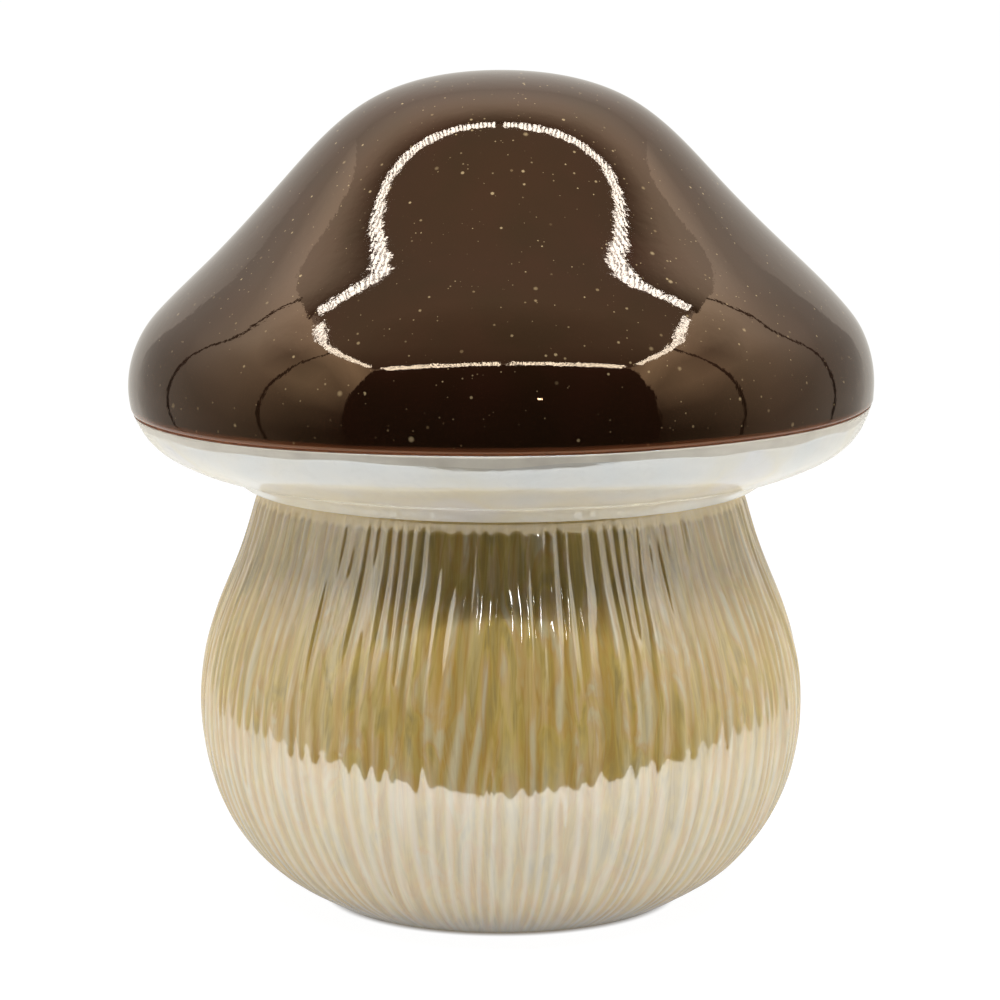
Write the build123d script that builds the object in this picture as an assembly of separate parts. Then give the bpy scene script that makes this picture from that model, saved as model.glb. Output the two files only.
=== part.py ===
from build123d import *
from math import cos, pi, radians, sin, sqrt, tan
import os

# A hollow slip-cast mushroom ornament: a brown domed cap closed from below by a
# pearl dish, on a pear-shaped fluted stem that stands on four felt pads.
# The vertical axis is Z, the floor is z = 0, and every size is in millimetres.

# Felt pads
pad_count = 4
pad_radius = 3.5
pad_thickness = 0.6

# Stem outline over the tops of the ribs, as radius and height
stem_height = 100.5
neck_radius = 58.2
throat_radius = 62.4
throat_drop = 14.2
upper_radius = 69.3
upper_drop = 31.7
belly_radius = 72.9
belly_height = 47.9
lower_radius = 66.8
lower_height = 21.9
heel_radius = 56.8
heel_height = 9.0
foot_radius = 42.5

# Stem wall, foot ring and vent
stem_wall = 5.0
floor_thickness = 5.0
foot_width = 12.0
foot_recess = 2.0
vent_radius = 6.0
spigot_height = 7.0
spigot_wall = 4.0
shoulder_width = 2.8

# Ribs carved down the stem
rib_count = 120
rib_depth = 0.6
rib_end_depth = 0.25
rib_sections = 11

# Cap outline
cap_radius = 89.3
cap_rise = 74.4
upper_brim_radius = 26.3
upper_brim_turn = 45.0
lower_brim_radius = 18.5
underside_slope = 21.0
lip_overhang = 1.4
lip_round = 1.2
crown_radius = 31.0
crown_drop = 6.8
slope_radius = 52.6
slope_drop = 26.4
flank_run = 12.2
flank_rise = 12.1

# Cap wall and the seam below its widest line
cap_wall = 5.0
seam_drop = 5.0
tongue_height = 6.0
tongue_width = 3.5
socket_spare = 1.0

# Slip that beds the castings on each other
slip_thickness = 0.4
slip_gap = 0.6

# Points along an outer curve from which the inside of its wall is drawn
inside_points = 6


# Heights and radii that follow from the sizes above
foot_level = pad_thickness
shoulder_level = foot_level + stem_height
lip_level = shoulder_level + slip_thickness
lip_radius = neck_radius + lip_overhang
brim_centre_radius = cap_radius - lower_brim_radius
slope = radians(underside_slope)
dish_tangent_radius = brim_centre_radius + lower_brim_radius * sin(slope)
dish_tangent_level = lip_level + (dish_tangent_radius - lip_radius) * tan(slope)
widest_level = dish_tangent_level + lower_brim_radius * cos(slope)
rim_level = widest_level - seam_drop
ledge_level = rim_level - slip_thickness
crown_level = widest_level + cap_rise
spigot_radius = neck_radius - shoulder_width
spigot_bore = spigot_radius - spigot_wall
floor_level = foot_level + foot_recess + floor_thickness


def lower_brim_radius_at(level):
    """Radius of the cap below its widest line, at the given height."""
    drop = widest_level - level
    return brim_centre_radius + sqrt(lower_brim_radius**2 - drop**2)


seam_radius = lower_brim_radius_at(rim_level)
ledge_radius = lower_brim_radius_at(ledge_level)
socket_radius = seam_radius - cap_wall
tongue_radius = socket_radius - slip_gap
tongue_bore = tongue_radius - tongue_width
opening_radius = spigot_radius + slip_gap


def dish_inside_level(radius):
    """Height of the dish's upper face, a wall's thickness above its sloping lower face."""
    return lip_level + (radius - lip_radius) * tan(slope) + cap_wall / cos(slope)


def turned(*lines):
    """A closed half outline turned once about the vertical axis."""
    outline = make_face([edge for line in lines for edge in line.edges()])
    return revolve(Plane.XZ * outline, Axis.Z)


def inset(curve, along, wall):
    """The point a wall's thickness inside an outer curve drawn from the axis downwards or outwards."""
    point = curve @ along
    direction = curve % along
    return (point.X + direction.Y * wall, point.Y - direction.X * wall)


def dome_curves():
    """The cap's outer line from the crown to the widest radius, and on to the seam."""
    turn = radians(upper_brim_turn)
    upper_centre_radius = cap_radius - upper_brim_radius
    brim_start = (
        upper_centre_radius + upper_brim_radius * cos(turn),
        widest_level + upper_brim_radius * sin(turn),
    )
    half_turn = turn / 2
    brim_middle = (
        upper_centre_radius + upper_brim_radius * cos(half_turn),
        widest_level + upper_brim_radius * sin(half_turn),
    )
    crown_to_brim = Spline(
        (0, crown_level),
        (crown_radius, crown_level - crown_drop),
        (slope_radius, crown_level - slope_drop),
        (brim_start[0] - flank_run, brim_start[1] + flank_rise),
        brim_start,
        tangents=[(1, 0), (sin(turn), -cos(turn))],
    )
    brim = ThreePointArc(brim_start, brim_middle, (cap_radius, widest_level))
    below_middle = widest_level - seam_drop / 2
    below = ThreePointArc(
        (cap_radius, widest_level),
        (lower_brim_radius_at(below_middle), below_middle),
        (seam_radius, rim_level),
    )
    return crown_to_brim, brim, below


def cap_dome():
    """The brown shell, open at the bottom, with a straight socket inside its rim."""
    crown_to_brim, brim, below = dome_curves()
    socket_level = rim_level + tongue_height + socket_spare
    inside = [inset(crown_to_brim, step / inside_points, cap_wall) for step in range(1, inside_points)]
    inside_curve = Spline(
        (0, crown_level - cap_wall),
        *inside,
        inset(brim, 0.4, cap_wall),
        (socket_radius, socket_level),
        tangents=[(1, 0), (0, -1)],
    )
    return turned(
        crown_to_brim,
        brim,
        below,
        Line((seam_radius, rim_level), (socket_radius, rim_level)),
        Line((socket_radius, rim_level), (socket_radius, socket_level)),
        inside_curve,
        Line((0, crown_level - cap_wall), (0, crown_level)),
    )


def cap_underside():
    """The pearl dish that closes the dome, with a tongue in the dome's socket and a lip at the neck."""
    arc_middle_level = (ledge_level + dish_tangent_level) / 2
    brim = ThreePointArc(
        (ledge_radius, ledge_level),
        (lower_brim_radius_at(arc_middle_level), arc_middle_level),
        (dish_tangent_radius, dish_tangent_level),
    )
    tongue_top = ledge_level + tongue_height
    rest = Polyline(
        (dish_tangent_radius, dish_tangent_level),
        (lip_radius, lip_level),
        (opening_radius, lip_level),
        (opening_radius, dish_inside_level(opening_radius)),
        (tongue_bore, dish_inside_level(tongue_bore)),
        (tongue_bore, tongue_top),
        (tongue_radius, tongue_top),
        (tongue_radius, ledge_level),
        (ledge_radius, ledge_level),
    )
    dish = turned(brim, rest)
    lip_edge = dish.edges().filter_by(GeomType.CIRCLE).sort_by(Axis.Z)[:2].sort_by(SortBy.RADIUS)[-1]
    return fillet(lip_edge, lip_round)


def slip_ring(inner_radius, outer_radius, bed_level, wall_top):
    """Slip squeezed into an L: a flat bed between two faces and a thin wall round the inner piece."""
    bed_top = bed_level + slip_thickness
    wall_radius = inner_radius + slip_gap
    section = Polyline(
        (inner_radius, bed_level),
        (outer_radius, bed_level),
        (outer_radius, bed_top),
        (wall_radius, bed_top),
        (wall_radius, wall_top),
        (inner_radius, wall_top),
        (inner_radius, bed_level),
    )
    return turned(section)


def rim_slip_ring():
    """The ring that beds the dome on the dish and shows as the thin line at the seam."""
    return slip_ring(tongue_radius, ledge_radius, ledge_level, ledge_level + tongue_height)


def neck_slip_ring():
    """The ring that beds the dish on the stem's shoulder, round the spigot."""
    bed_radius = neck_radius - rib_end_depth
    return slip_ring(spigot_radius, bed_radius, shoulder_level, dish_inside_level(opening_radius))


def stem_curve():
    """The stem's outer line over the rib tops, from the shoulder down to the foot."""
    return Spline(
        (neck_radius, shoulder_level),
        (throat_radius, shoulder_level - throat_drop),
        (upper_radius, shoulder_level - upper_drop),
        (belly_radius, foot_level + belly_height),
        (lower_radius, foot_level + lower_height),
        (heel_radius, foot_level + heel_height),
        (foot_radius, foot_level),
    )


def rib_section(radius, level, depth):
    """One level slice of the stem: rounded ribs side by side, meeting in grooves."""
    pitch = 2 * pi / rib_count
    groove = radius - depth
    ribs = []
    for rib in range(rib_count):
        start = rib * pitch
        middle = start + pitch / 2
        end = (rib + 1) % rib_count * pitch
        ribs.append(
            ThreePointArc(
                (groove * cos(start), groove * sin(start), level),
                (radius * cos(middle), radius * sin(middle), level),
                (groove * cos(end), groove * sin(end), level),
            )
        )
    return Wire(ribs)


def stem_body():
    """The fluted casting: solid ribs outside, a smooth cavity, a spigot above and a foot ring below."""
    curve = stem_curve()
    slices = []
    for step in range(rib_sections):
        along = step / (rib_sections - 1)
        point = curve @ along
        depth = rib_end_depth + (rib_depth - rib_end_depth) * sin(pi * along)
        slices.append(rib_section(point.X, point.Y, depth))
    ribbed = Solid.make_loft(slices)
    spigot_top = shoulder_level + spigot_height
    spigot = Pos(0, 0, shoulder_level) * Cylinder(
        spigot_radius, spigot_height, align=(Align.CENTER, Align.CENTER, Align.MIN)
    )
    inside = [inset(curve, step / inside_points, stem_wall) for step in range(1, inside_points - 1)]
    cavity = turned(
        Line((0, floor_level), (foot_radius, floor_level)),
        Spline((foot_radius, floor_level), *reversed(inside), (spigot_bore, shoulder_level)),
        Line((spigot_bore, shoulder_level), (spigot_bore, spigot_top)),
        Line((spigot_bore, spigot_top), (0, spigot_top)),
        Line((0, spigot_top), (0, floor_level)),
    )
    base_align = (Align.CENTER, Align.CENTER, Align.MIN)
    recess = Pos(0, 0, foot_level) * Cylinder(foot_radius - foot_width, foot_recess, align=base_align)
    vent = Pos(0, 0, foot_level) * Cylinder(vent_radius, floor_level, align=base_align)
    return ribbed + spigot - cavity - recess - vent


def felt_pad(number):
    """A felt dot under the middle of the foot ring."""
    ring_radius = foot_radius - foot_width / 2
    angle = 2 * pi * (number - 0.5) / pad_count
    pad = Cylinder(pad_radius, pad_thickness, align=(Align.CENTER, Align.CENTER, Align.MIN))
    return Pos(ring_radius * cos(angle), ring_radius * sin(angle), 0) * pad


os.makedirs("parts", exist_ok=True)
export_step(cap_dome(), "parts/cap_dome.step")
export_step(cap_underside(), "parts/cap_underside.step")
export_step(rim_slip_ring(), "parts/rim_slip_ring.step")
export_step(stem_body(), "parts/stem_body.step")
export_step(neck_slip_ring(), "parts/neck_slip_ring.step")
for pad_number in range(1, pad_count + 1):
    export_step(felt_pad(pad_number), f"parts/felt_pad_{pad_number}.step")
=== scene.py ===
# %% [markdown]
# # A ceramic mushroom ornament
# The real ornament is a hollow slip casting about 200 mm tall. A glossy brown cap sits on a pearl dish,
# and the dish sits on a pear-shaped stem whose hand-carved flutes lie under a champagne lustre.
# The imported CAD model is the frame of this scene: each piece below is made in its place, in that frame,
# and stands for one CAD node. The frame also gives the main sizes, so nothing here is fitted by eye
# against the CAD.

# %% Load the frame
import math

import bpy
import numpy as np
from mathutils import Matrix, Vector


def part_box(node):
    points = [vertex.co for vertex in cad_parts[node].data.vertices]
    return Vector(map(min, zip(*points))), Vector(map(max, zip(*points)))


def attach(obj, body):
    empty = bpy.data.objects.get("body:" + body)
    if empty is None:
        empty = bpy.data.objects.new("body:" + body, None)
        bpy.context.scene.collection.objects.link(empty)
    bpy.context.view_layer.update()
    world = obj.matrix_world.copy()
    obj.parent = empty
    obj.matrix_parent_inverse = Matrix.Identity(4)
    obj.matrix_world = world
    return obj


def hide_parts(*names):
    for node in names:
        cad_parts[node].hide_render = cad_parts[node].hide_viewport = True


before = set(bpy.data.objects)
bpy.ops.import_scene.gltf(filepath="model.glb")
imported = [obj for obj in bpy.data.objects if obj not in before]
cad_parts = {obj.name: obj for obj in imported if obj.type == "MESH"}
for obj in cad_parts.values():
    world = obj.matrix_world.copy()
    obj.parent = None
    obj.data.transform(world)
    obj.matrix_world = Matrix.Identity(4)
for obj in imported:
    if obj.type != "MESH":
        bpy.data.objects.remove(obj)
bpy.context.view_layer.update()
print("CAD nodes:", ", ".join(sorted(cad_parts)))

# %% [markdown]
# ## Sizes
# A potter thinks in millimetres, so the outlines below are in millimetres, and one number turns them
# into Blender's metres. The levels and the widest radius come from the boxes of the CAD nodes.

# %% Read the main sizes from the frame
MM = 0.001


def box_in_mm(node):
    """Lowest and highest corner of a CAD node, in millimetres."""
    low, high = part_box(node)
    return np.array(low) / MM, np.array(high) / MM


dome_low, dome_high = box_in_mm("cap_dome")
dish_low, dish_high = box_in_mm("cap_underside")
stem_low, stem_high = box_in_mm("stem_body")
pad_low, pad_high = box_in_mm("felt_pad_1")
cap_radius = dome_high[0]
crown_level = dome_high[2]
rim_level = dome_low[2]
lip_level = dish_low[2]
tongue_top = dish_high[2]
spigot_top = stem_high[2]
foot_level = stem_low[2]
print(f"cap {2 * cap_radius:.1f} mm across, {crown_level:.1f} mm high, rim at {rim_level:.1f} mm")

# %% [markdown]
# ## Turning a piece
# Every casting here was turned on a wheel, or pressed in a mould that was. So one helper spins a half
# outline round the vertical axis. Blender's Screw modifier could do that too, but this helper also lets
# each point be nudged on the way, which is how the small faults of hand work get in.
# Glossy glaze shows every jump in curvature as a kink in a reflection. The outlines therefore run
# through their points on a cubic curve whose bend changes evenly.

# %% A curve with an even bend
fine_steps = 60
largest_part = 0.45


def smooth_curve(points, count, start=None, end=None):
    """Evenly spaced points on a cubic curve through the given ones, with optional end directions."""
    knots = np.array(points, dtype=float)
    last = len(knots) - 1
    steps = np.linalg.norm(np.diff(knots, axis=0), axis=1)
    chords = np.diff(knots, axis=0) / steps[:, None]
    system = np.zeros((last + 1, last + 1))
    target = np.zeros((last + 1, 2))
    for knot in range(1, last):
        before, after = steps[knot - 1:knot + 1]
        system[knot, knot - 1:knot + 2] = after, 2 * (before + after), before
        target[knot] = 3 * (after * chords[knot - 1] + before * chords[knot])
    for knot, neighbour, chord, direction in ((0, 1, chords[0], start), (last, last - 1, chords[-1], end)):
        if direction is None:
            system[knot, knot] = 2
            system[knot, neighbour] = 1
            target[knot] = 3 * chord
        else:
            system[knot, knot] = 1
            target[knot] = np.array(direction) / np.linalg.norm(direction)
    speeds = np.linalg.solve(system, target)
    share = np.linspace(0, 1, fine_steps)[:, None]
    runs = []
    for knot in range(last):
        bulge = steps[knot] * share * (1 - share)
        straight = knots[knot] + (knots[knot + 1] - knots[knot]) * share
        early, late = speeds[knot:knot + 2] - chords[knot]
        runs.append(straight + bulge * (early * (1 - share) - late * share))
    fine = np.vstack([run[:-1] for run in runs] + [knots[-1:]])
    travelled = np.r_[0, np.cumsum(np.linalg.norm(np.diff(fine, axis=0), axis=1))]
    stops = np.linspace(0, travelled[-1], count)
    return np.column_stack([np.interp(stops, travelled, fine[:, axis]) for axis in (0, 1)])


def round_corners(points, radius, steps=4):
    """A chain of straight runs with each inner corner eased by a short curve."""
    chain = np.array(points, dtype=float)
    eased = [chain[0]]
    for before, corner, after in zip(chain, chain[1:], chain[2:]):
        entry, leave = (
            corner + run * min(largest_part, radius / np.linalg.norm(run))
            for run in (before - corner, after - corner)
        )
        for share in np.linspace(0, 1, steps):
            eased.append((1 - share) ** 2 * entry + 2 * share * (1 - share) * corner + share**2 * leave)
    eased.append(chain[-1])
    return np.array(eased)


def outward_of(line):
    """The directions square to a line of points that runs down the outside of a piece."""
    travel = np.gradient(line, axis=0)
    return np.column_stack([-travel[:, 1], travel[:, 0]]) / np.linalg.norm(travel, axis=1)[:, None]


# %% Spin an outline into a closed mesh


def spun(angle, radius, height):
    """Points at these angles, radii and heights, still in millimetres."""
    return np.stack(np.broadcast_arrays(radius * np.cos(angle), radius * np.sin(angle), height), axis=-1)


def turned_mesh(name, outline, segments, shape=spun):
    """Spin an outline of radius and height, with shape placing the points, and close it.

    An outline with both ends on the axis ends in two poles. Any other runs on into its own start."""
    angle = np.linspace(0, math.tau, segments, endpoint=False)[None, :]
    radius = np.repeat(outline[:, :1], segments, axis=1)
    height = np.repeat(outline[:, 1:], segments, axis=1)
    rings = shape(angle, radius, height)
    has_poles = outline[0, 0] == 0 and outline[-1, 0] == 0
    ring_count = len(outline)
    index = np.arange(ring_count * segments).reshape(ring_count, segments)
    upper = index[:-1] if has_poles else index
    lower = index[1:] if has_poles else np.roll(index, -1, axis=0)
    quads = np.stack([upper, lower, np.roll(lower, -1, axis=1), np.roll(upper, -1, axis=1)], axis=-1)
    points = rings.reshape(-1, 3) * MM
    faces = quads.reshape(-1, 4).tolist()
    mesh = bpy.data.meshes.new(name)
    if has_poles:
        first_pole = 0
        last_pole = segments * (ring_count - 2) + 1
        points = np.vstack([points[:1], points[segments:-segments], points[-1:]])
        faces = []
        for quad in quads.reshape(-1, 4):
            corners = np.clip(quad - segments + 1, first_pole, last_pole)
            faces.append(list(dict.fromkeys(corners.tolist())))
    mesh.from_pydata(points.tolist(), [], faces)
    mesh.shade_smooth()
    mesh.update()
    print(f"{name}: {len(points)} points, {len(faces)} faces")
    return mesh


def mark_points(mesh, name, values):
    """Give each point of a mesh a value that its material can read."""
    attribute = mesh.attributes.new(name, "FLOAT", "POINT")
    attribute.data.foreach_set("value", np.asarray(values, dtype=np.float32).ravel())


# %% [markdown]
# ## Hand work
# Nothing on a hand-finished casting is perfectly even. A handful of slow random waves, each with a whole
# number of turns round the piece so that it meets itself, is enough to make reflections waver as they do
# on real glaze. The seed is fixed, so every run gives the same ornament.

# %% Slow random waves


def ripples(angle, along, around, upward, height, seed, waves=10):
    """A sum of random waves: around is the range of turns round the piece, upward of turns along it."""
    random = np.random.default_rng(seed)
    total = np.zeros(np.broadcast(angle, along).shape)
    for _ in range(waves):
        turns = random.integers(around[0], around[1] + 1)
        climb = random.uniform(-upward, upward) * math.tau
        start = random.uniform(0, math.tau)
        total += np.sin(turns * angle + climb * along + start)
    return total * height / math.sqrt(waves)


def calm_ends(along):
    """0 at both ends of a run, and close to 1 between them."""
    return np.sqrt(np.sin(math.pi * along))


# %% [markdown]
# ## Glaze recipes
# A material is a small graph of nodes. A few helpers keep the recipes short: one adds a node and joins its
# inputs, one starts a material and sets what is constant straight on the shader, where an export can find
# it, and the others stand for one or two nodes each.

# %% Helpers for shader nodes


def add_node(tree, kind, inputs=None, **settings):
    """Add a node. An input that is another node's output is linked, and any other is a plain value."""
    node = tree.nodes.new(f"ShaderNode{kind}")
    for name, value in settings.items():
        setattr(node, name, value)
    for name, value in (inputs or {}).items():
        if isinstance(value, bpy.types.NodeSocket):
            tree.links.new(value, node.inputs[name])
        else:
            node.inputs[name].default_value = value
    return node


def start_material(name, constants):
    """A new material with these constant values on its shader."""
    material = bpy.data.materials.new(name)
    material.use_nodes = True
    tree = material.node_tree
    shader = tree.nodes["Principled BSDF"]
    for socket, value in constants.items():
        shader.inputs[socket].default_value = value
    return material, tree, shader


def sum_of(tree, operation, first, second, clamp=False):
    """The result of one arithmetic step."""
    inputs = {0: first, 1: second}
    return add_node(tree, "Math", inputs, operation=operation, use_clamp=clamp).outputs[0]


def times(tree, first, second, clamp=False):
    """The product of two values."""
    return sum_of(tree, "MULTIPLY", first, second, clamp)


def blended(tree, share, first, second):
    """One colour passing into another as share goes from 0 to 1."""
    return add_node(tree, "Mix", {0: share, 6: first, 7: second}, data_type="RGBA").outputs[2]


def clouds(tree, where, size_mm, detail=3.0, distortion=0.0):
    """Soft cloudy variation between 0 and 1, with clouds of about this size."""
    inputs = {"Vector": where, "Scale": 1 / (size_mm * MM), "Detail": detail, "Distortion": distortion}
    return add_node(tree, "TexNoise", inputs).outputs["Fac"]


def share_between(tree, value, reach, levels):
    """A share that passes from the first level to the second as value crosses its reach."""
    names = ("Value", "From Min", "From Max", "To Min", "To Max")
    inputs = dict(zip(names, (value, *reach, *levels)))
    return add_node(tree, "MapRange", inputs).outputs["Result"]


def ramped(tree, factor, stops):
    """A colour picked along a row of stops, each a position and a colour."""
    ramp = add_node(tree, "ValToRGB", {"Fac": factor})
    elements = ramp.color_ramp.elements
    elements.remove(elements[1])
    elements[0].position = stops[0][0]
    elements[0].color = (*stops[0][1], 1)
    for position, colour in stops[1:]:
        elements.new(position).color = (*colour, 1)
    return ramp.outputs["Color"]


def dress(tree, shader, colour, pattern, depth_mm):
    """Colour a surface and let a pattern stand out of it by this much."""
    tree.links.new(colour, shader.inputs["Base Color"])
    inputs = {"Height": pattern, "Distance": depth_mm * MM, "Strength": 1.0}
    bump = add_node(tree, "Bump", inputs)
    tree.links.new(bump.outputs["Normal"], shader.inputs["Normal"])


def on_surface(tree):
    """The place on the piece, in metres."""
    return add_node(tree, "TexCoord").outputs["Object"]


def marked(tree, name):
    """The value that each point of the mesh was given under this name."""
    return add_node(tree, "Attribute", attribute_name=name).outputs["Fac"]


def mottled_finish(name, constants, shades, patches, grain):
    """A finish in two shades. Patches have a size and a detail, and grain has these and a depth, in mm."""
    material, tree, shader = start_material(name, constants)
    where = on_surface(tree)
    dark, pale = shades
    body = ramped(tree, clouds(tree, where, *patches), [(0.3, dark), (0.7, pale)])
    grain_mm, detail, depth_mm = grain
    dress(tree, shader, body, clouds(tree, where, grain_mm, detail), depth_mm)
    return material


# %% Put a finished mesh in the scene
scene = bpy.context.scene


def add_object(name, data):
    """A new object of the scene that shows this mesh, light or camera."""
    thing = bpy.data.objects.new(name, data)
    scene.collection.objects.link(thing)
    return thing


def place_piece(name, mesh, node, slot, *materials, place=(0, 0, 0)):
    """Add a piece that stands for a CAD node and moves with the ornament."""
    piece = add_object(name, mesh)
    piece.location = place
    for material in materials:
        mesh.materials.append(material)
    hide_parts(node)
    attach(piece, "root")
    print(f"{name} stands for {node}, in", " and ".join(material.name for material in materials))


# %% [markdown]
# ## The brown cap
# The dome is one shell. Its outside runs from the crown over a long slope to a tight brim, and ends in a
# glazed edge just below the widest line. The same driving points as in the CAD give the line, and one
# cubic curve joins them, so that no reflection breaks where an arc would meet a spline.
# Four faults of the real one are kept: the glaze gathers in a slight bead at its edge, the edge is a
# little lower on one side, the slope is a little fuller on the right, and in front it has a slight hollow
# with a swell below it.

# %% The cap's outline
cap_wall = 5.0
seam_drop = 5.0
lower_brim_radius = 18.5
upper_brim_radius = 26.3
brim_turn = math.radians(45)
socket_depth = 7.0
widest_level = rim_level + seam_drop
socket_level = rim_level + socket_depth


def below_brim(level):
    """Radius of the cap at a level below its widest line."""
    drop = np.clip(widest_level - level, 0, lower_brim_radius)
    return cap_radius - lower_brim_radius + np.sqrt(lower_brim_radius**2 - drop**2)


def on_brim(turn, round_radius):
    """Radius and height on a round of the brim, a turn above its widest line, or below if negative."""
    inward = round_radius * (1 - math.cos(turn))
    return (cap_radius - inward, widest_level + round_radius * math.sin(turn))


brim_points = [on_brim(brim_turn * share, upper_brim_radius) for share in (1, 0.75, 0.5, 0.25, 0)]
brim_start = brim_points[0]
edge_points = [(below_brim(level), level) for level in (widest_level - seam_drop / 2, rim_level)]
dome_points = [
    (0, crown_level),
    (31.0, crown_level - 6.8),
    (52.6, crown_level - 26.4),
    (brim_start[0] - 12.2, brim_start[1] + 12.1),
    *brim_points,
    *edge_points,
]
dome_outside = smooth_curve(dome_points, count=150, start=(1, 0))
seam_radius = below_brim(rim_level)
socket_radius = seam_radius - cap_wall
edge_corners = [
    dome_outside[-1],
    (seam_radius - 0.5, rim_level - 0.05),
    (socket_radius, rim_level),
    (socket_radius, socket_level),
]
edge_and_socket = round_corners(edge_corners, radius=0.5)
wall_stops = [124, 100, 75, 50, 25]
inside_points = [
    (socket_radius, socket_level),
    *(dome_outside - cap_wall * outward_of(dome_outside))[wall_stops],
    (0, crown_level - cap_wall),
]
dome_inside = smooth_curve(inside_points, count=30, start=(0, 1), end=(-1, 0))
dome_outline = np.vstack([dome_outside[:-1], edge_and_socket[1:-1], dome_inside])
dome_outline[0, 0] = 0
dome_outline[-1, 0] = 0
print(f"seam radius {seam_radius:.2f} mm, {len(dome_outline)} points on the outline")

# %% [markdown]
# The tilt and waver of the glazed edge are a function of the angle alone, because the dome, the slip
# under it and the dish below all follow the same line.

# %% The tilt of the seam and the lean of the slope
seam_tilt = 1.2
seam_waves = ((0.12, 3, 1.0), (0.07, 7, 2.0))
sway_height = 0.05
calm_crown = 20.0
front_focus = 1.5
# Each of these has a height, the level of its middle and a reach
bead = (0.2, rim_level, 1.8)
lean = (1.05, 152.0, 16.0)
hollow = (0.95, 175.0, 15.7)
swell = (1.3, 153.0, 8.5)


def hump(level, height, middle, reach):
    """The full height at the middle level, falling away smoothly above and below it."""
    return height * np.exp(-(((level - middle) / reach) ** 2))


def seam_shift(angle):
    """How far the seam lies above its level at this angle: higher on the right, with a slight waver."""
    waver = sum(height * np.sin(turns * angle + start) for height, turns, start in seam_waves)
    return seam_tilt * np.cos(angle) + waver


def slide_along_brim(radius, height, shift):
    """Move points up or down by shift and keep them on the round of the brim."""
    moved = height + shift
    return radius + below_brim(moved) - below_brim(height), moved


def shape_dome(angle, radius, height):
    """Tilt the edge, gather the glaze in a bead, and make the slope a little uneven."""
    outside = len(dome_outside)
    share = np.clip((widest_level - height) / seam_drop, 0, 1)
    radius, height = slide_along_brim(radius, height, share * seam_shift(angle))
    level = dome_outline[:, 1:]
    sway = ripples(angle, level / cap_radius, (2, 6), 1.0, sway_height, seed=4)
    fade = np.clip(dome_outline[:, :1] / calm_crown, 0, 1)
    in_front = np.clip(-np.sin(angle), 0, 1) ** front_focus
    dent = hump(level, *swell) - hump(level, *hollow)
    radius[:outside] += (hump(level, *bead) + sway * fade + dent * in_front)[:outside]
    points = spun(angle, radius, height)
    points[..., 0] += hump(height, *lean)
    return points


dome_segments = 320
dome_mesh = turned_mesh("brown_cap", dome_outline, dome_segments, shape_dome)
edge_distance = dome_outline[:, 1] - rim_level
edge_distance[len(dome_outside):] = 0
edge_values = np.r_[edge_distance[0], np.repeat(edge_distance[1:-1], dome_segments), edge_distance[-1]]
mark_points(dome_mesh, "edge_distance", edge_values)

# %% [markdown]
# The glaze is a dark chocolate brown, almost mirror smooth, with cream and tan specks from grains of
# iron-free clay that surface in the firing. Specks could be painted one by one, but a Voronoi pattern
# does it all over: each of its cells has one point and one random colour, so the colour can say
# whether the cell gets a speck and how large it is. At the lower edge, where glaze runs thin, it breaks
# to rust.

# %% The brown glaze
# Size of the cells, share of them with a speck, and radius of the largest speck
speck_sizes = ((5.4, 0.45, 0.85), (2.3, 0.40, 0.5), (1.3, 0.4, 0.27))
speck_sharpness = 12.0
rust_reach = (0.4, 2.0)


def specks(tree, where, cell_mm, share, largest_mm):
    """1 inside specks: a share of the cells has one, up to the largest radius."""
    pattern = add_node(tree, "TexVoronoi", {"Vector": where, "Scale": 1 / (cell_mm * MM)})
    random = add_node(tree, "SeparateColor", {"Color": pattern.outputs["Color"]})
    chosen = sum_of(tree, "LESS_THAN", random.outputs["Red"], share)
    reach = times(tree, random.outputs["Green"], largest_mm / cell_mm)
    depth = sum_of(tree, "SUBTRACT", reach, pattern.outputs["Distance"])
    inside = times(tree, depth, speck_sharpness, clamp=True)
    return times(tree, inside, chosen), random.outputs["Blue"]


def brown_glaze():
    """Chocolate brown gloss with specks, breaking to rust at the edge."""
    material, tree, shader = start_material(
        "brown_glaze", {"Roughness": 0.03, "IOR": 1.86, "Specular Tint": (1.0, 0.62, 0.345, 1)}
    )
    where = on_surface(tree)
    mottle = clouds(tree, where, 14.0, detail=5.0)
    body = ramped(tree, mottle, [(0.3, (0.0095, 0.0041, 0.0018)), (0.7, (0.0135, 0.0046, 0.0024))])
    for speck_size in speck_sizes:
        grains, tone = specks(tree, where, *speck_size)
        grain_colour = ramped(tree, tone, [(0.0, (0.07, 0.045, 0.022)), (1.0, (0.22, 0.165, 0.09))])
        body = blended(tree, grains, body, grain_colour)
    ragged_edge = sum_of(tree, "ADD", marked(tree, "edge_distance"), times(tree, mottle, 0.5))
    thin = share_between(tree, ragged_edge, rust_reach, (1.0, 0.0))
    colour = blended(tree, thin, body, (0.20, 0.062, 0.024, 1))
    dress(tree, shader, colour, clouds(tree, where, 5.0, detail=4.0), 0.042)
    return material


place_piece("brown_cap", dome_mesh, "cap_dome", "brown_glaze", brown_glaze())

# %% [markdown]
# ## The pearl dish
# The dish closes the cap from below. It carries on the round of the brim, slopes in to the neck and ends
# in a small rolled lip. A tongue on its upper side stands in the socket of the dome. Only the outer
# side shows, so the wrinkles of its brushed glaze are put there and nowhere else.

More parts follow.
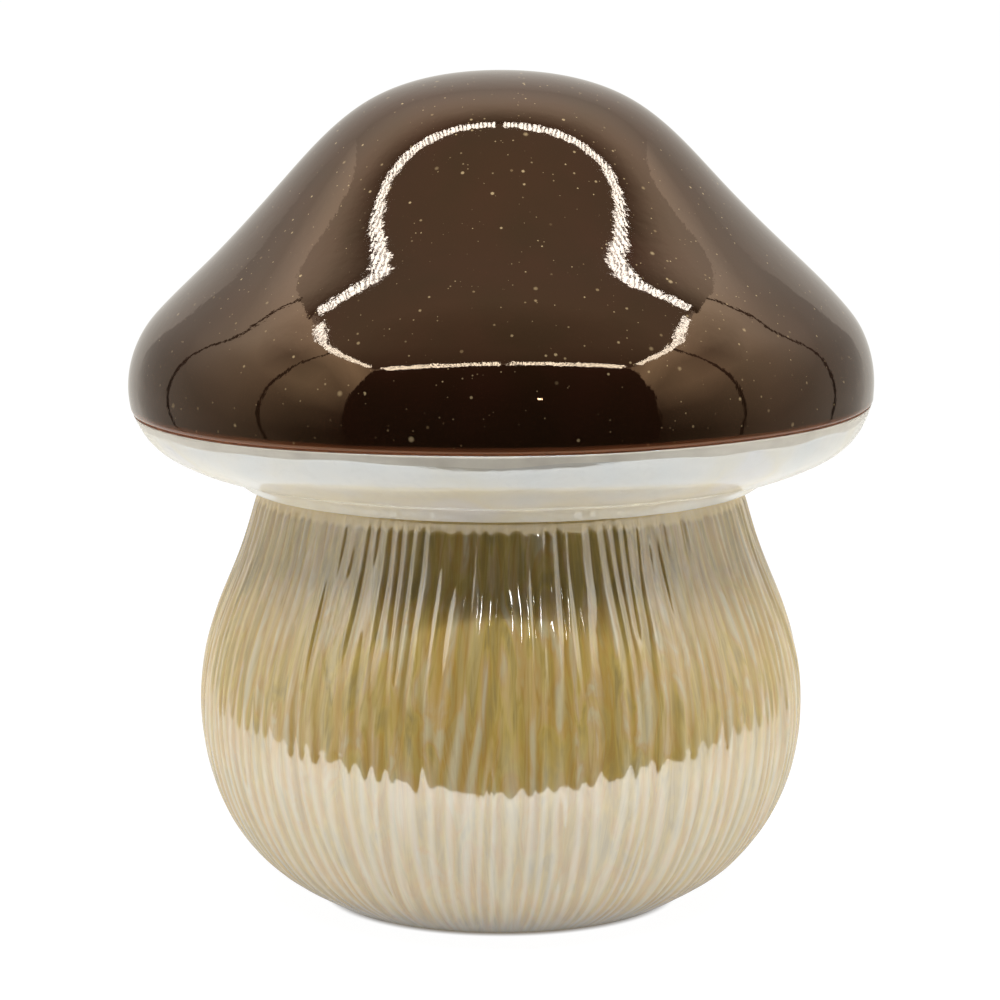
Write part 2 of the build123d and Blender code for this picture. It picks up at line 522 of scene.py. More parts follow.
# %% The dish's outline
slip_thickness = 0.4
slip_gap = 0.6
slope = math.radians(21)
neck_radius = 58.2
shoulder_width = 2.8
tongue_width = 3.5
spigot_radius = neck_radius - shoulder_width
opening_radius = spigot_radius + slip_gap
ledge_level = rim_level - slip_thickness
tongue_radius = socket_radius - slip_gap
tongue_bore = tongue_radius - tongue_width
lip_roll = 0.8
lip_reach = 59.2
slope_turn = slope - math.pi / 2
ledge_turn = math.asin((ledge_level - widest_level) / lower_brim_radius)
round_points = [on_brim(turn, lower_brim_radius) for turn in np.linspace(ledge_turn, slope_turn, 4)]
slope_start = round_points[-1]


def on_slope(radius):
    """A point on the sloping face of the dish."""
    return (radius, slope_start[1] - (slope_start[0] - radius) * math.tan(slope))


dish_points = [
    *round_points,
    on_slope(71.0),
    on_slope(64.0),
    on_slope(lip_reach + lip_roll),
    (lip_reach, lip_level + lip_roll),
    (lip_reach - 0.3, lip_level + 0.25),
    (lip_reach - lip_roll, lip_level),
]
dish_outside = smooth_curve(dish_points, count=64, end=(-1, 0))
inner_slope_rise = cap_wall / math.cos(slope)
dish_corners = [
    dish_outside[-1],
    (opening_radius, lip_level),
    (opening_radius, on_slope(opening_radius)[1] + inner_slope_rise),
    (tongue_bore, on_slope(tongue_bore)[1] + inner_slope_rise),
    (tongue_bore, tongue_top),
    (tongue_radius, tongue_top),
    (tongue_radius, ledge_level),
    dish_outside[0],
]
dish_inside = round_corners(dish_corners, radius=0.6)
dish_outline = np.vstack([dish_outside, dish_inside[1:-1]])
bare_rings = 4
waver_rings = 14
brush_waver = 0.42
wrinkle_height = 0.05
crease_height = 0.012


def shape_dish(angle, radius, height):
    """Follow the seam at the rim, wrinkle the brushed face and let the brush's edge waver."""
    visible = len(dish_outside)
    share = np.clip((height - slope_start[1]) / (ledge_level - slope_start[1]), 0, 1)
    radius, height = slide_along_brim(radius, height, share * seam_shift(angle))
    ring = np.arange(waver_rings)[:, None]
    give = np.minimum(ring / bare_rings, (waver_rings - ring) / (waver_rings - bare_rings))
    waver = give * ripples(angle, ring * 0, (3, 22), 0.0, brush_waver, seed=13, waves=14)
    edge = slide_along_brim(radius[:waver_rings], height[:waver_rings], waver)
    radius[:waver_rings], height[:waver_rings] = edge
    along = np.linspace(0, 1, visible)[:, None]
    wrinkles = ripples(angle, along, (4, 26), 1.6, wrinkle_height, seed=11, waves=14)
    creases = ripples(angle, along, (30, 70), 2.5, crease_height, seed=12, waves=14)
    height[:visible] += (wrinkles + creases) * calm_ends(along)
    return spun(angle, radius, height)


dish_segments = 480
dish_mesh = turned_mesh("pearl_dish", dish_outline, dish_segments, shape_dish)
dish_ring = np.arange(len(dish_mesh.polygons)) // dish_segments
dish_mesh.polygons.foreach_set("material_index", (dish_ring < bare_rings).astype(np.int32))

# %% [markdown]
# Pearl lustre is a thin film of metal oxide over a cream glaze. It mirrors about four tenths of the
# light, a little more of the blue than of the red, which a high index of refraction and a tint give. Where
# it mirrors a white floor it reads as bluish white, and where it mirrors something dark, the cream below
# shows. Faint patches and veins, and the ripples of the brush that laid it on, keep it from being even.
# The brush stopped just short of the seam, so a strip of plain cream glaze is left there. The film can't
# fade out within one material, because its index of refraction is one number, so the strip has its own.

# %% The pearl glaze
brush_ripple = 0.15
pearl_stops = [
    (0.30, (0.88, 0.87, 0.82)),
    (0.45, (0.95, 0.90, 0.80)),
    (0.58, (0.95, 0.87, 0.70)),
    (0.70, (0.92, 0.87, 0.81)),
]


def pearl_glaze():
    """Cream glaze under a bluish mirror film, with faint patches, veins and brush marks."""
    material, tree, shader = start_material(
        "pearl_glaze", {"Roughness": 0.06, "IOR": 4.2, "Specular Tint": (0.92, 0.98, 1.0, 1)}
    )
    where = on_surface(tree)
    body = ramped(tree, clouds(tree, where, 26.0), pearl_stops)
    crazing = clouds(tree, where, 3.5, detail=6.0, distortion=1.5)
    veins = share_between(tree, crazing, (0.52, 0.66), (0.0, 0.3))
    colour = blended(tree, veins, body, (0.86, 0.81, 0.72, 1))
    stretched = add_node(tree, "Mapping", {"Vector": where, "Scale": (1.0, 1.0, 2.0)})
    dress(tree, shader, colour, clouds(tree, stretched.outputs["Vector"], 12.0, detail=4.0), brush_ripple)
    return material


cream_shades = (0.66, 0.61, 0.52), (0.80, 0.75, 0.64)
bare_constants = {"Roughness": 0.15, "IOR": 1.5}
bare_glaze = mottled_finish("bare_glaze", bare_constants, cream_shades, (9.0, 4.0), (2.5, 3.0, 0.02))
place_piece("pearl_dish", dish_mesh, "cap_underside", "pearl_glaze", pearl_glaze(), bare_glaze)

# %% [markdown]
# ## The slip in the joints
# The castings are bedded on each other in slip, the same clay as a thick cream. It shows as a thin line:
# rust brown at the rim, where iron from the glaze soaks in, and buff in the crease at the neck.

# %% Two rings of slip
bed_round = 0.18
bed_inset = 0.3
neck_segments = 256
pale_rust, dark_rust = (0.30, 0.12, 0.05), (0.16, 0.05, 0.02)
pale_buff, dark_buff = (0.46, 0.33, 0.19), (0.30, 0.20, 0.11)


def slip_outline(inner_radius, outer_radius, bed_level, wall_top):
    """An L: a flat bed with a rounded outer edge, and a thin wall round the inner casting."""
    wall_radius = inner_radius + slip_gap
    bed_top = bed_level + slip_thickness
    half_way_up = (inner_radius, (bed_level + wall_top) / 2)
    corners = [
        half_way_up,
        (inner_radius, bed_level),
        (outer_radius, bed_level),
        (outer_radius, bed_top),
        (wall_radius, bed_top),
        (wall_radius, wall_top),
        (inner_radius, wall_top),
        half_way_up,
    ]
    return round_corners(corners, bed_round)[:-1][::-1]


def shape_rim_slip(angle, radius, height):
    """Follow the seam round the rim."""
    radius, height = slide_along_brim(radius, height, seam_shift(angle))
    return spun(angle, radius, height)


def slip_finish(name, dark, pale):
    """Fired slip: dry, matt and a little uneven."""
    return mottled_finish(name, {"Roughness": 0.55}, (dark, pale), (3.0, 4.0), (0.7, 3.0, 0.03))


rim_slip_outline = slip_outline(tongue_radius, below_brim(ledge_level), ledge_level, tongue_top)
rim_slip_mesh = turned_mesh("rim_slip", rim_slip_outline, dome_segments, shape_rim_slip)
rust_slip = slip_finish("rust_slip", dark_rust, pale_rust)
place_piece("rim_slip", rim_slip_mesh, "rim_slip_ring", "rust_slip", rust_slip)

shoulder_level = lip_level - slip_thickness
neck_slip_top = on_slope(opening_radius)[1] + inner_slope_rise
neck_slip_outline = slip_outline(spigot_radius, neck_radius - bed_inset, shoulder_level, neck_slip_top)
neck_slip_mesh = turned_mesh("neck_slip", neck_slip_outline, neck_segments)
buff_slip = slip_finish("buff_slip", dark_buff, pale_buff)
place_piece("neck_slip", neck_slip_mesh, "neck_slip_ring", "buff_slip", buff_slip)

# %% [markdown]
# ## The fluted stem
# The stem is a pear-shaped casting. Someone drew a loop tool down it again and again, so its flutes are
# never quite the same: they wander, some fade out, and two ribs then run together. A row of equal
# cylinders cut away in the CAD sense would look machined. Here one wave round the stem makes all the
# grooves, a slow warp spaces them unevenly, their depth rises and falls, and at many places one forks.

# %% The stem's outline
floor_top = 7.0
spigot_wall = 4.0
floor_level = foot_level + floor_top
foot_radius = 42.5
foot_width = 12.0
foot_recess = 2.0
vent_radius = 6.0
spigot_bore = spigot_radius - spigot_wall
stem_points = [
    (neck_radius, shoulder_level),
    (62.4, shoulder_level - 14.2),
    (69.3, shoulder_level - 31.7),
    (72.9, foot_level + 47.9),
    (66.8, foot_level + 21.9),
    (56.8, foot_level + 9.0),
    (foot_radius, foot_level),
]
stem_outside = smooth_curve(stem_points, count=96)
foot_corners = [
    stem_outside[-1],
    (foot_radius - foot_width, foot_level),
    (foot_radius - foot_width - 1, foot_level + foot_recess),
    (vent_radius, foot_level + foot_recess),
    (vent_radius, floor_level),
    (foot_radius, floor_level),
]
stem_underside = round_corners(foot_corners, radius=0.8, steps=3)
cavity_points = [
    (foot_radius, floor_level),
    (62.0, 24.0),
    (67.9, 48.0),
    (64.3, 69.0),
    (57.5, 87.0),
    (spigot_bore, shoulder_level),
]
stem_cavity = smooth_curve(cavity_points, count=9)
spigot_corners = [
    stem_cavity[-1],
    (spigot_bore, spigot_top),
    (spigot_radius, spigot_top),
    (spigot_radius, shoulder_level),
    (neck_radius - 0.4, shoulder_level),
]
stem_spigot = round_corners(spigot_corners, radius=0.5, steps=3)
stem_outline = np.vstack([stem_outside, stem_underside[1:-1], stem_cavity, stem_spigot[1:]])
print(f"{len(stem_outside)} of {len(stem_outline)} rings of the stem are carved")

# %% The carving
flute_count = 118
flute_depth = 0.22
extra_above = 0.7
extra_until, extra_over = 0.5, 0.2
fork_count = 44
fork_reach = 260.0
fork_seed = 23
groove_wander = 0.22
mean_strength = 0.85
strength_swing = 0.36
strength_limits = (0.1, 1.7)
neck_fade, neck_least = 0.03, 0.35
foot_fade, foot_least = 0.10, 0.08
stem_segments = 1000
stem_angle = np.linspace(0, math.tau, stem_segments, endpoint=False)[None, :]
stem_along = np.linspace(0, 1, len(stem_outside))[:, None]


def fork_shift(angle, level):
    """How far grooves are pushed aside, in grooves, by the places where one forks or two run together.

    It grows by one groove on a walk round such a place, so one more groove lies on one side of it."""
    random = np.random.default_rng(fork_seed)
    shift = np.zeros(np.broadcast(angle, level).shape)
    for fork in range(fork_count):
        side = 1 if fork % 2 else -1
        aside = (angle - random.uniform(0, math.tau)) / 2
        above = np.tanh((level - random.uniform(foot_level, shoulder_level)) / (2 * fork_reach))
        shift += side * np.arctan2(np.cos(aside) * above, np.sin(aside)) / math.tau
    return shift


def flute_share(angle, along):
    """Depth of the carving as a share of the full depth: along is 0 at the neck and 1 at the foot."""
    warp = ripples(angle, along, (9, 40), 0.9, groove_wander, seed=22, waves=12)
    place = flute_count * angle / math.tau + warp + fork_shift(angle, stem_outside[:, 1:])
    groove = 0.5 + 0.5 * np.cos(math.tau * place)
    strength = mean_strength + ripples(angle, along, (25, 59), 3.0, strength_swing, seed=21, waves=24)
    fade_in = np.clip(along / neck_fade, neck_least, 1)
    fade_out = np.clip((1 - along) / foot_fade, foot_least, 1)
    return groove * np.clip(strength, *strength_limits) * fade_in * fade_out


carved_share = flute_share(stem_angle, stem_along)
deeper_above = 1 + extra_above * np.clip((extra_until - stem_along) / extra_over, 0, 1)
carved_depth = flute_depth * deeper_above * carved_share
neck_tuck = 0.6
neck_tuck_reach = 4.5
slow_waver = 0.10
fine_waver = 0.05


def shape_stem(angle, radius, height):
    """Carve the flutes into the outer face and let it waver."""
    visible = len(stem_outside)
    outward = outward_of(stem_outside)
    waver = ripples(angle, stem_along, (6, 24), 2.2, slow_waver, seed=31, waves=16)
    waver += ripples(angle, stem_along, (45, 110), 6.0, fine_waver, seed=32, waves=24)
    tuck = neck_tuck * np.clip(1 - (shoulder_level - stem_outside[:, 1:]) / neck_tuck_reach, 0, 1) ** 2
    push = waver * calm_ends(stem_along) - carved_depth - tuck
    radius[:visible] += outward[:, :1] * push
    height[:visible] += outward[:, 1:] * push
    height[visible - 1] = foot_level
    return spun(angle, radius, height)


stem_mesh = turned_mesh("fluted_stem", stem_outline, stem_segments, shape_stem)
stem_ring = np.arange(len(stem_mesh.polygons)) // stem_segments
stem_mesh.polygons.foreach_set("material_index", (stem_ring >= len(stem_outside) - 1).astype(np.int32))
carving = np.zeros((len(stem_outline), stem_segments))
carving[:len(stem_outside)] = carved_share
mark_points(stem_mesh, "carving", carving)
mark_points(stem_mesh, "below_neck", np.repeat(shoulder_level - stem_outline[:, 1], stem_segments))

# %% [markdown]
# Champagne lustre is the same idea as the pearl, with more metal: over a golden glaze lies a film that
# mirrors about four tenths of the light. Where it mirrors something dark the gold shows, and where it
# mirrors a white floor it turns pale cream. The brush ran up and down, so its colour comes in
# vertical streaks of gold, olive, rose and grey. To make streaks that follow the swelling form, the place
# on the stem is first drawn in to a straight cylinder, and its height is squeezed.

# %% The champagne lustre and the bare clay of the foot
# Depth below the neck, in mm, over which the band of painted reflection fades out
neck_reflection_band = (2.8, 3.8)
# Depth below the neck, in mm, over which the painted reflection on the crests becomes even
crest_sheen_below = (46.0, 62.0)
mean_radius = 0.066
gold_stops = [
    (0.32, (0.39, 0.28, 0.09)),
    (0.42, (0.63, 0.42, 0.09)),
    (0.49, (0.76, 0.57, 0.18)),
    (0.56, (0.48, 0.34, 0.10)),
    (0.64, (0.78, 0.62, 0.29)),
]
tint_stops = [
    (0.34, (0.40, 0.32, 0.13)),
    (0.45, (0.70, 0.51, 0.13)),
    (0.55, (0.73, 0.38, 0.09)),
    (0.65, (0.73, 0.60, 0.30)),
]


def vector_step(tree, operation, first, second=(0, 0, 0)):
    """The result of one step with vectors."""
    return add_node(tree, "VectorMath", {0: first, 1: second}, operation=operation).outputs[0]


def streak_space(tree, squeeze):
    """The direction from the axis, with the height squeezed, so that patterns run down the stem."""
    where = on_surface(tree)
    direction = vector_step(tree, "NORMALIZE", vector_step(tree, "MULTIPLY", where, (1, 1, 0)))
    around = vector_step(tree, "MULTIPLY", direction, (mean_radius, mean_radius, 0))
    return vector_step(tree, "ADD", around, vector_step(tree, "MULTIPLY", where, (0, 0, squeeze)))


def champagne_lustre():
    """Golden glaze under a mirror film in brushed streaks, darker in the flutes.

    Paler crests and a pale band at the neck are painted reflection.
    """
    material, tree, shader = start_material("champagne_lustre", {"Roughness": 0.07, "IOR": 4.2})
    long_streaks = clouds(tree, streak_space(tree, 0.09), 3.0, detail=4.0, distortion=1.2)
    short_streaks = clouds(tree, streak_space(tree, 0.24), 4.5, detail=3.0, distortion=1.2)
    gold = ramped(tree, long_streaks, gold_stops)
    brushed = blended(tree, 0.5, gold, ramped(tree, short_streaks, tint_stops))
    carving = marked(tree, "carving")
    # The grooves are darker gold, in patches
    darker_in_grooves = times(tree, carving, times(tree, short_streaks, 0.9), clamp=True)
    glazed = blended(tree, darker_in_grooves, brushed, (0.43, 0.28, 0.06, 1))
    # Paler crests are painted reflection: the ridges mirror more of the white floor, in patches and all
    # along the lower part
    crest = sum_of(tree, "SUBTRACT", 0.6, carving, clamp=True)
    depth = marked(tree, "below_neck")
    patchy = share_between(tree, short_streaks, (0.42, 0.62), (0.0, 0.75))
    even = share_between(tree, depth, crest_sheen_below, (0.0, 0.85))
    crest_sheen = times(tree, crest, sum_of(tree, "MAXIMUM", patchy, even))
    glazed = blended(tree, crest_sheen, glazed, (0.78, 0.74, 0.58, 1))
    # A pale band just under the neck is painted reflection, of what the top of the stem mirrors under the
    # lip
    ragged = sum_of(tree, "ADD", depth, carving)
    reflection_band = share_between(tree, ragged, neck_reflection_band, (0.75, 0.0))
    colour = blended(tree, reflection_band, glazed, (0.97, 0.72, 0.29, 1))
    dress(tree, shader, colour, clouds(tree, streak_space(tree, 0.2), 1.6, detail=2.0), 0.035)
    return material


clay_shades = (0.50, 0.43, 0.33), (0.62, 0.55, 0.44)
bare_clay = mottled_finish("bare_clay", {"Roughness": 0.8}, clay_shades, (2.0, 6.0), (0.5, 3.0, 0.05))
place_piece("fluted_stem", stem_mesh, "stem_body", "champagne_lustre", champagne_lustre(), bare_clay)

# %% [markdown]
# ## The felt pads
# Four felt dots under the foot ring keep the fired clay off a shelf. They are punched from pressed felt,
# so the rim is soft and a little ragged. Each is turned like the castings, with an uneven edge.

# %% Four felt dots
pad_radius = (pad_high[0] - pad_low[0]) / 2
pad_top = pad_high[2]
pad_edge = [(pad_radius / 2, pad_top), (pad_radius, pad_top), (pad_radius, 0), (pad_radius / 2, 0)]
pad_outline = round_corners([(0, pad_top), *pad_edge, (0, 0)], radius=0.35, steps=5)
pad_segments = 96
pad_count = 4
edge_waver = 0.05
edge_focus = 4
first_seed = 40


def felt_dot(number):
    """A felt dot with its own ragged edge."""

    def shape_pad(angle, radius, height):
        ragged = ripples(angle, height / pad_top, (5, 30), 0.5, edge_waver, first_seed + number, waves=16)
        share = (radius / pad_radius) ** edge_focus
        return spun(angle, radius + ragged * share, height)

    return turned_mesh(f"felt_dot_{number}", pad_outline, pad_segments, shape_pad)


wool_shades = (0.46, 0.40, 0.30), (0.66, 0.60, 0.48)
wool_constants = {"Roughness": 0.95, "Sheen Weight": 0.3}
felt = mottled_finish("pressed_felt", wool_constants, wool_shades, (0.35, 6.0), (0.35, 6.0, 0.12))
for number in range(1, pad_count + 1):
    low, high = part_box(f"felt_pad_{number}")
    middle = ((low[0] + high[0]) / 2, (low[1] + high[1]) / 2, 0)
    place_piece(f"felt_dot_{number}", felt_dot(number), f"felt_pad_{number}", "felt", felt, place=middle)

# %% [markdown]
# ## Floor and studio light
# The ornament stands on a plain white floor. To the camera the floor is mostly plain white, and a small
# share of it is real shading, which keeps the contact shadow. Mirrored in glaze it is a little less than
# white, and less again near the foot, a painted shadow of the cap, and to the sides, painted shade. Its
# matt colour is darker near the foot too, a painted shadow of the cap that gives less light back. A ring
# of it, brightest in front, throws light up at matt surfaces, as does the part under the foot. From below
# the floor is clear, so that the foot can be looked at.

# %% The floor
floor_half_width = 20.0
far_matt = 0.9
plain_white_share = 0.86
plain_white = 1.13
mirrored_white = 0.86
bounce = 2.4
bounce_start = (0.12, 0.17)
bounce_end = (0.30, 0.40)
bounce_front = (-0.12, 0.06)
bounce_behind = 0.25
under_foot = (0.040, 0.0425)
under_foot_light = 0.7
shade_reach = (0.0405, 0.0435)
# Near the foot the floor is darker, mirrored and matt: a painted shadow of the cap
near_reach = (0.055, 0.17)
near_share = 0.72
near_matt = 0.78
# To the sides the mirrored floor is darker: painted shade
aside_reach = (0.06, 0.20)
aside_share = 0.80


def seen_directly(tree):
    """1 for rays from the camera and for mirrored ones, else 0."""
    path = add_node(tree, "LightPath").outputs
    return sum_of(tree, "MAXIMUM", path["Is Camera Ray"], path["Is Glossy Ray"])


def stage_material(name):
    """An empty material for the stage. Rays find its light by chance, which saves time."""
    material, tree, _ = start_material(name, {})
    material.cycles.emission_sampling = "NONE"
    tree.nodes.clear()
    return material, tree


def glowing(tree, strength, colour=(1, 1, 1)):
    """Plain light of this strength."""
    inputs = {"Color": (*colour, 1), "Strength": strength}
    return add_node(tree, "Emission", inputs).outputs[0]


def mixed(tree, share, first, second):
    """One shader passing into another as share goes from 0 to 1."""
    return add_node(tree, "MixShader", {0: share, 1: first, 2: second}).outputs[0]


def show_surface(tree, shader):
    """Make this shader what the material shows."""
    add_node(tree, "OutputMaterial", {"Surface": shader})


def white_floor():
    """A matt white floor that reads as plain white and is clear from below."""
    material, tree = stage_material("white_floor")
    path = add_node(tree, "LightPath").outputs
    place = on_surface(tree)
    distance = add_node(tree, "VectorMath", {0: place}, operation="LENGTH").outputs["Value"]

    def between(reach, first, last):
        """One value passing into another over a range of distances from the axis."""
        return share_between(tree, distance, reach, (first, last))

    matt_colour = blended(tree, between(near_reach, near_matt, far_matt), (0, 0, 0, 1), (1, 1, 1, 1))
    matt = add_node(tree, "BsdfDiffuse", {"Color": matt_colour}).outputs[0]
    split = add_node(tree, "SeparateXYZ", {"Vector": place}).outputs
    facing = share_between(tree, split["Y"], bounce_front, (1.0, bounce_behind))
    ring = times(tree, between(bounce_start, 0.0, bounce), between(bounce_end, 1.0, 0.0))
    ring = times(tree, ring, facing)
    upward = sum_of(tree, "ADD", ring, between(under_foot, under_foot_light, 0.0))
    lit = glowing(tree, times(tree, path["Is Diffuse Ray"], upward))
    shaded = add_node(tree, "AddShader", {0: matt, 1: lit}).outputs[0]
    aside = share_between(tree, sum_of(tree, "ABSOLUTE", split["X"], 0.0), aside_reach, (1.0, aside_share))
    nearby = between(near_reach, near_share * mirrored_white, mirrored_white)
    mirrored = times(tree, aside, nearby)
    seen = times(tree, path["Is Camera Ray"], plain_white)
    plain = glowing(tree, sum_of(tree, "MAXIMUM", mirrored, seen))
    share = times(tree, seen_directly(tree), between(shade_reach, 0.0, plain_white_share))
    clear = add_node(tree, "BsdfTransparent").outputs[0]
    behind = add_node(tree, "NewGeometry").outputs["Backfacing"]
    show_surface(tree, mixed(tree, behind, mixed(tree, share, shaded, plain), clear))
    return material


def rectangle(low, high, level=0):
    """The corners of a level rectangle between two opposite ones."""
    return [(x, y, level) for x, y in (low, (high[0], low[1]), high, (low[0], high[1]))]


def stage_sheet(name, points, faces, material):
    """A flat piece of the stage."""
    mesh = bpy.data.meshes.new(name)
    mesh.from_pydata(points, [], faces)
    mesh.materials.append(material)
    sheet = add_object(name, mesh)
    print(f"{sheet.name}: {len(faces)} faces of the stage")
    return sheet


far = floor_half_width
stage_sheet("floor", rectangle((-far, -far), (far, far)), [(0, 1, 2, 3)], white_floor())

# %% [markdown]
# Gloss is only as good as what it mirrors. Six thin lamps form a rectangle above the ornament and light
# its matt surfaces. Gloss can't see them. In the place of each it sees a tape with a row of small dots, as
# a tape of light diodes has. The gaps are dark along one edge, so the bright lines on the glaze are ragged.

# %% The lamps
lamp_level = 0.40
lamp_width = 0.016
front_tape_width = 0.024
lamp_front = -0.25
lamp_back = -0.005
lamp_side = 0.224
lamp_gap = 0.006
lamp_radiance = 78.0
side_radiance = 40.0
tape_light = (13.0, 16.5, 21.0)
dot_pitch = 0.006
dot_part = 0.6
edge_part = 0.6
gap_glow = 0.25


def dotted_tape():
    """Mirrored light in dots, with dim gaps between them and dark ones along one edge."""
    material, tree = stage_material("dotted_tape")
    split = add_node(tree, "SeparateXYZ", {"Vector": on_surface(tree)}).outputs
    step = sum_of(tree, "FRACT", sum_of(tree, "DIVIDE", split["X"], dot_pitch), 0.0)
    dots = sum_of(tree, "LESS_THAN", step, dot_part)
    plain = sum_of(tree, "LESS_THAN", split["Y"], lamp_width * (edge_part - 0.5))
    level = sum_of(tree, "MAXIMUM", dots, times(tree, plain, gap_glow))
    brightest = max(tape_light)
    colour = [part / brightest for part in tape_light]
    show_surface(tree, glowing(tree, times(tree, level, brightest), colour))
    return material


tape_material = dotted_tape()


def hide_from(thing, *rays):
    """Let rays of these kinds pass a thing by."""
    for kind in rays:
        setattr(thing, f"visible_{kind}", False)


def strip_lamp(name, x, y, length, turn, radiance, tape_width=lamp_width):
    """A thin lamp that shines down, and the tape of dots that gloss sees in its place."""
    data = bpy.data.lights.new(name, "AREA")
    data.shape = "RECTANGLE"
    data.size = length
    data.size_y = lamp_width
    data.energy = radiance * math.pi * length * lamp_width
    lamp = add_object(name, data)
    hide_from(lamp, "camera", "glossy")
    across, deep = length / 2, tape_width / 2
    corners = rectangle((-across, -deep), (across, deep))
    tape = stage_sheet(f"{name}_tape", corners, [(0, 1, 2, 3)], tape_material)
    hide_from(tape, "camera", "diffuse", "shadow")
    for part in (lamp, tape):
        part.location = (x, y, lamp_level)
        part.rotation_euler = (0, 0, turn)
    print(f"{lamp.name}: {data.energy:.2f} W over {length * lamp_width * 1e4:.1f} square cm")


half_length = lamp_side - 2 * lamp_gap
front_length = half_length - 2.5 * lamp_gap
side_length = lamp_back - lamp_front - 8 * lamp_gap
for side in (-1, 1):
    front_middle = side * (lamp_gap + front_length / 2)
    strip_lamp("front_lamp", front_middle, lamp_front, front_length, 0, lamp_radiance, front_tape_width)
    strip_lamp("back_lamp", side * (lamp_gap + half_length / 2), lamp_back, half_length, 0, lamp_radiance)
    middle = (lamp_front + lamp_back) / 2
    strip_lamp("side_lamp", side * lamp_side, middle, side_length, math.pi / 2, side_radiance)

# %% [markdown]
# One more lamp, as small as a fingertip, stands in front. It is too small to light the piece, but each
# groove near the middle of the stem mirrors it as a bright glint.

# %% The glint lamp
glint_place = (0.04, -0.25, 0.205)
glint_size = 0.005
glint_radiance = 36.0
glint_data = bpy.data.lights.new("glint_lamp", "AREA")
glint_data.size = glint_size
glint_data.energy = glint_radiance * math.pi * glint_size**2
glint_lamp = add_object("glint_lamp", glint_data)
glint_lamp.location = glint_place
glint_lamp.rotation_euler = (math.pi / 2, 0, 0)
hide_from(glint_lamp, "camera", "diffuse")
print(f"glint lamp: {glint_data.energy * 1000:.2f} mW")

# %% [markdown]
# Around the ornament stand cards that the camera can't see. A dark one in front gives the gloss its depth,
# grey ones at the sides and behind give it its sheen, two lie over the lamps, and dark ones lie on the
# floor in front. Thin dark ones stand before the sides, like seams. The large ones are brighter or darker
# from place to place, and matt surfaces get only part of their light.

# %% The reflection cards
card_side = 0.236
card_top = 0.41
card_front = -0.262
card_back = 0.22
ceiling_level = 0.402
matt_share = 0.5
card_colour = (1.0, 0.97, 0.90)


def card_finish():
    """Plain light, as strong as each corner of a card says."""
    material, tree = stage_material("card_finish")
    matt_ray = add_node(tree, "LightPath").outputs["Is Diffuse Ray"]
    loss = times(tree, matt_ray, 1 - matt_share)
    strength = times(tree, marked(tree, "glow"), sum_of(tree, "SUBTRACT", 1.0, loss))
    show_surface(tree, glowing(tree, strength, card_colour))
    return material


card_material = card_finish()


def reflection_card(name, corners, glow):
    """A card that the camera can't see, with levels of light, or rows of them, from its first edge on."""
    first, second, third, fourth = np.array(corners)
    rows = np.array(glow, dtype=float)
    if rows.ndim == 1:
        rows = np.column_stack([rows, rows])
    down = np.linspace(0, 1, rows.shape[0])[:, None, None]
    across = np.linspace(0, 1, rows.shape[1])[None, :, None]
    near_edge = first + (second - first) * across
    far_edge = fourth + (third - fourth) * across
    points = (near_edge + (far_edge - near_edge) * down).reshape(-1, 3)
    index = np.arange(rows.size).reshape(rows.shape)
    faces = np.stack([index[:-1, :-1], index[:-1, 1:], index[1:, 1:], index[1:, :-1]], axis=-1)
    card = stage_sheet(name, points.tolist(), faces.reshape(-1, 4).tolist(), card_material)
    mark_points(card.data, "glow", rows)
    hide_from(card, "camera", "shadow")


def upright_card(name, start, end, glow, foot=(0.0, 0.0)):
    """A standing card between two places on the floor, with its foot at these heights there."""
    corners = [(*start, foot[0]), (*end, foot[1]), (*end, card_top), (*start, card_top)]
    reflection_card(name, corners, glow)


# %% Front, sides and back
front_glow = [0.02, 0.01]
upright_card("front_card", (-card_side, card_front), (card_side, card_front), front_glow)
side_glow = [
    [0.03, 0.08, 0.22, 0.30, 0.45, 0.80],
    [0.05, 0.14, 0.36, 0.46, 0.52, 0.75],
    [0.16, 0.36, 0.60, 0.48, 0.44, 0.50],
    [0.60, 1.05, 0.90, 0.92, 0.56, 0.50],
    [1.40, 1.00, 0.60, 1.50, 0.85, 0.65],
    [1.00, 1.70, 1.50, 2.00, 1.60, 0.80],
]
side_foot = (-0.015, 0.042)
seams = (-0.112, 0.048)
seam_width = 0.006
seam_stand = 0.002
seam_foot = (0.02, 0.02)
seam_glow = [0.05, 0.1]
for side in (-1, 1):
    wall = side * card_side
    upright_card("side_card", (wall, card_front), (wall, card_back), side_glow, side_foot)
    for seam in seams:
        near_wall = wall - side * seam_stand
        seam_ends = (near_wall, seam), (near_wall, seam + seam_width)
        upright_card("seam_card", *seam_ends, seam_glow, seam_foot)
back_glow = [0.85, 0.75, 0.7]
upright_card("back_card", (-card_side, card_back), (card_side, card_back), back_glow)

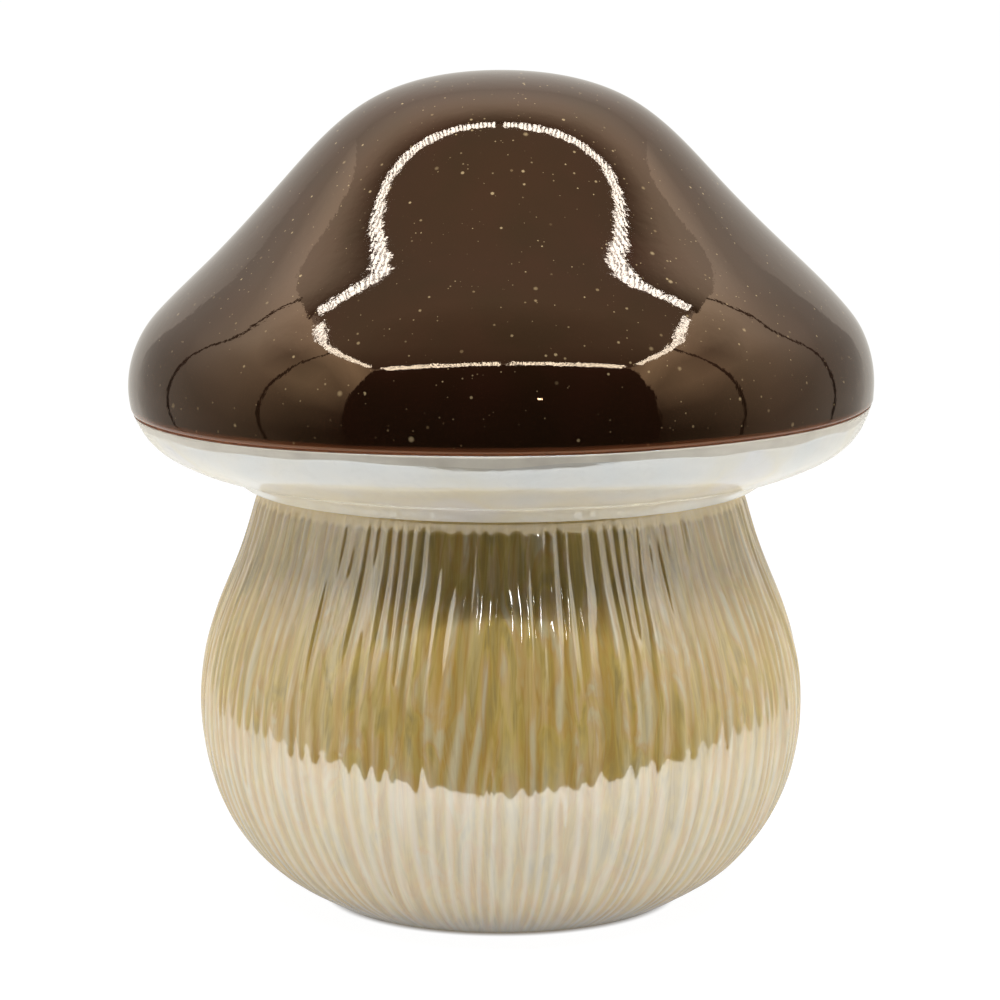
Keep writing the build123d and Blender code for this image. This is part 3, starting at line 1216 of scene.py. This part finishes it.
# %% Overhead and on the floor in front
between_lamps = rectangle((-lamp_side, lamp_front), (lamp_side, lamp_back), ceiling_level)
ceiling_glow = [0.18, 0.28, 0.47, 0.38]
reflection_card("ceiling_card", between_lamps, ceiling_glow)
behind_lamps = rectangle((-card_side, lamp_back), (card_side, card_back), ceiling_level)
rear_glow = [0.05, 0.55, 1.0, 1.12, 1.05, 0.92, 0.78, 0.65]
reflection_card("rear_ceiling_card", behind_lamps, rear_glow)
apron_level = 0.0006
sheet_edge = -0.15
corner_x, corner_y = 0.15, -0.08
apron_glow = [0.03, 0.03]
apron = rectangle((-corner_x, sheet_edge), (corner_x, card_front), apron_level)
reflection_card("apron_card", apron, apron_glow)
for side in (-1, 1):
    apron_end = [
        (side * corner_x, sheet_edge, apron_level),
        (side * card_side, corner_y, apron_level),
        (side * card_side, card_front, apron_level),
        (side * corner_x, card_front, apron_level),
    ]
    reflection_card("apron_card", apron_end, apron_glow)

# %% [markdown]
# The world fills in the shadows. The camera and mirror rays see it a little less than white, and matt
# surfaces get a weaker share, so that the lamps shape the form.

# %% The soft fill
fill_strength = 0.38


def soft_fill():
    """A white surround, weaker as a light than as something mirrored."""
    world = bpy.data.worlds.new("soft_fill")
    world.use_nodes = True
    tree = world.node_tree
    tree.nodes.clear()
    extra = times(tree, seen_directly(tree), mirrored_white - fill_strength)
    strength = sum_of(tree, "ADD", extra, fill_strength)
    fill = add_node(tree, "Background", {"Color": (1, 1, 1, 1), "Strength": strength})
    add_node(tree, "OutputWorld", {"Surface": fill.outputs[0]})
    return world


scene.world = soft_fill()
scene.view_settings.view_transform = "Standard"
print(f"fill at {fill_strength} for matt surfaces and {mirrored_white} as seen")

# %% [markdown]
# ## Camera
# A long lens about 0.9 m away, looking slightly down, as in a catalogue view.

# %% The camera
camera_distance = 0.9
camera_dip = math.radians(8.8)
framing_dip = math.radians(0.208)
aim_level = 0.1
camera_aside = -0.0002
camera_data = bpy.data.cameras.new("camera")
camera_data.lens = 134.1
camera_data.sensor_width = 36.0
camera = add_object("camera", camera_data)
camera.location = (
    camera_aside,
    -camera_distance * math.cos(camera_dip),
    aim_level + camera_distance * math.sin(camera_dip),
)
camera.rotation_euler = (math.pi / 2 - camera_dip - framing_dip, 0, 0)
scene.camera = camera
print("camera at", [round(value, 4) for value in camera.location])
